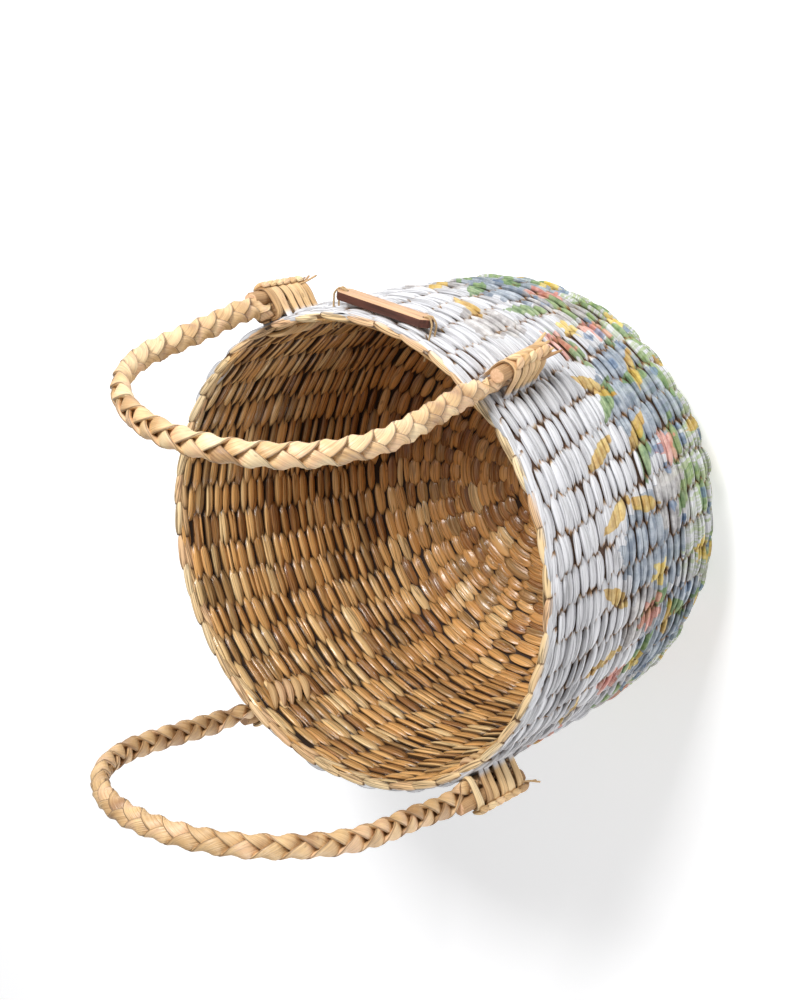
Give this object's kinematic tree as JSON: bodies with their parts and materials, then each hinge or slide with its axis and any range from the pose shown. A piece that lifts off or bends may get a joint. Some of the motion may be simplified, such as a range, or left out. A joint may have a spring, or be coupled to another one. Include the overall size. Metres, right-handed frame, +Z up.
{
  "type": "seagrass basket",
  "caption": "Round woven seagrass basket with a painted outside, a natural inside, standing braided handles lashed to the wall and a bare wooden tag.",
  "frame": {"origin": "middle of the underside of the base, on the surface that the basket stands on", "axes": "+Z up along the basket's axis to its mouth, -Y to the front, where the tag is, +X to the right seen from the front"},
  "size_m": [0.3007, 0.3131, 0.4026],
  "materials": {
    "natural_weave": "natural seagrass, satin",
    "painted_weave": "white paint on seagrass with a printed flower band",
    "braid": "pale plaited seagrass, satin",
    "reed": "cut reed, matt",
    "tag_wood": "bare wood with dark laser-cut edges",
    "twine": "jute twine"
  },
  "bodies": {
    "basket": {"base_weave": "natural_weave", "wall_weave": "painted_weave", "stake_frame": "natural_weave", "rim_border": "natural_weave", "tag_plate": "tag_wood", "tag_tie_left": "twine", "tag_tie_right": "twine", "front_left_tail": "braid", "front_left_peg": "reed", "front_left_lashing": "braid", "front_right_tail": "braid", "front_right_peg": "reed", "front_right_lashing": "braid", "back_right_tail": "braid", "back_right_peg": "reed", "back_right_lashing": "braid", "back_left_tail": "braid", "back_left_peg": "reed", "back_left_lashing": "braid"},
    "front_handle": {"front_handle": "braid"},
    "back_handle": {"back_handle": "braid"}
  },
  "joints": [
    {"name": "front_handle_bend", "type": "hinge", "parent": "basket", "child": "front_handle", "pos_m": [-0.00201, -0.13456, 0.24145], "axis": [0.9999, -0.0149, 0], "range_deg": [-42, 91]},
    {"name": "back_handle_bend", "type": "hinge", "parent": "basket", "child": "back_handle", "pos_m": [-0.01597, 0.12738, 0.24145], "axis": [-0.9922, -0.1244, 0], "range_deg": [-42, 91]}
  ]
}
